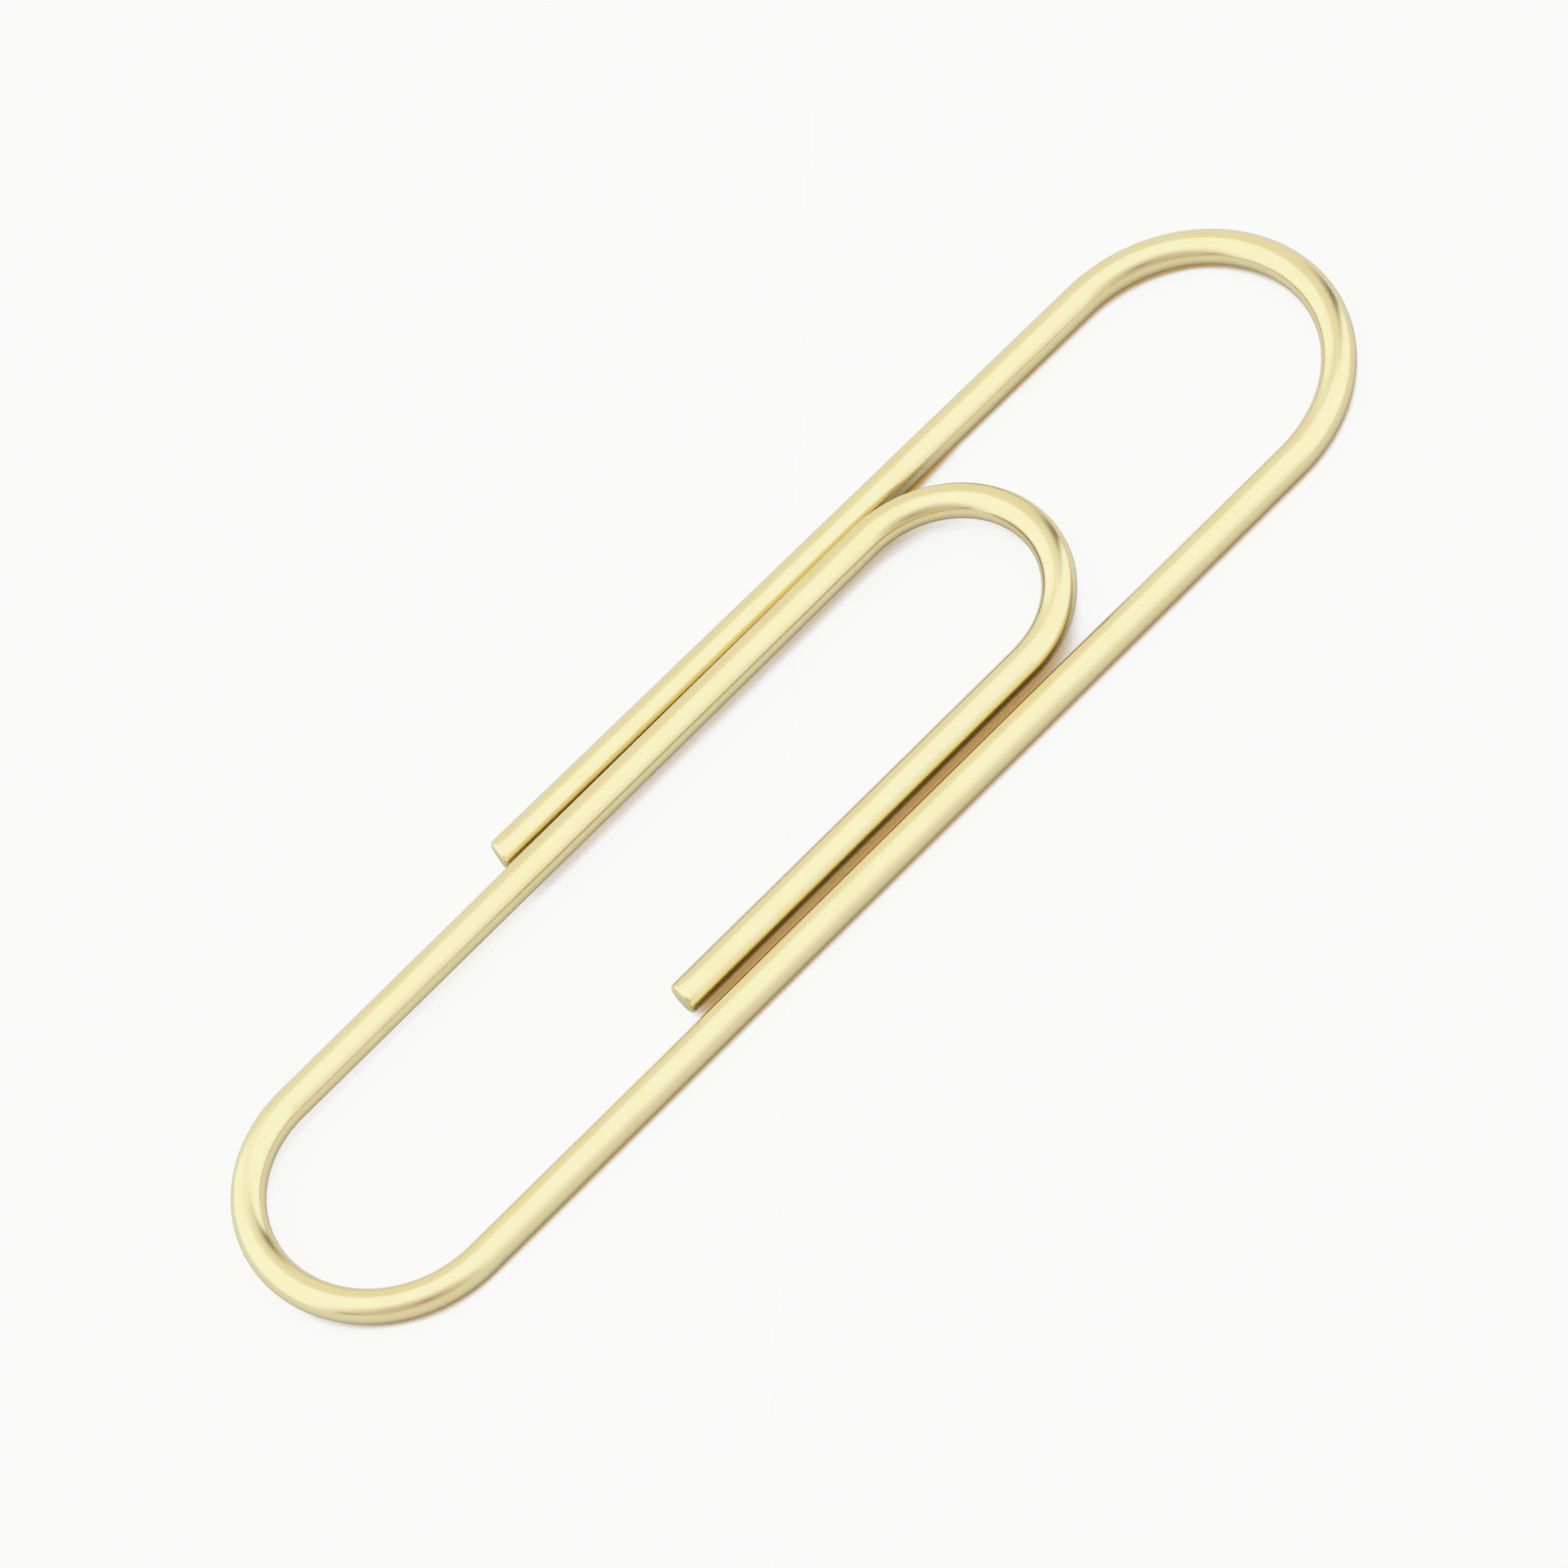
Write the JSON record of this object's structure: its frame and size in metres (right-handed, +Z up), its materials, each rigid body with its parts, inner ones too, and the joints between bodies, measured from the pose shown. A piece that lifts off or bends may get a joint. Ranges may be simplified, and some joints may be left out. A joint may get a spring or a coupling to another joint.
{
  "type": "paper clip",
  "caption": "Nested-loop paper clip of bent round gold-toned wire; its sprung tongue lifts to take and hold sheets of paper.",
  "frame": {"origin": "centre of the bounding box in plan, on the table the clip lies on", "axes": "+X along the clip from the heel bend to the outer bend, +Y towards the outer leg, +Z up off the table"},
  "size_m": [0.05, 0.0122, 0.0017],
  "materials": {
    "gold_wire": "bright plated, fine draw lines"
  },
  "bodies": {
    "outer_loop": {"long_leg": "gold_wire", "heel_bend": "gold_wire", "outer_bend": "gold_wire"},
    "outer_leg": {"outer_leg": "gold_wire"},
    "tongue": {"return_leg": "gold_wire", "inner_bend": "gold_wire"},
    "inner_leg": {"inner_leg": "gold_wire"}
  },
  "joints": [
    {"name": "tongue_flex", "type": "hinge", "parent": "outer_loop", "child": "tongue", "pos_m": [-0.01967, 0.00396, 0.00109], "axis": [0, -1, 0], "range_deg": [0, 15], "stiffness_Nm_per_rad": 0.28, "deforming": ["heel_bend"]},
    {"name": "outer_leg_flex", "type": "hinge", "parent": "outer_loop", "child": "outer_leg", "pos_m": [0.01914, 0.00517, 0.0006], "axis": [0, 1, 0], "range_deg": [0, 10], "stiffness_Nm_per_rad": 0.7, "deforming": ["outer_bend"]},
    {"name": "inner_leg_flex", "type": "hinge", "parent": "tongue", "child": "inner_leg", "pos_m": [0.00781, -0.00392, 0.00089], "axis": [0, 1, 0], "range_deg": [0, 8], "stiffness_Nm_per_rad": 1, "deforming": ["inner_bend"]}
  ]
}
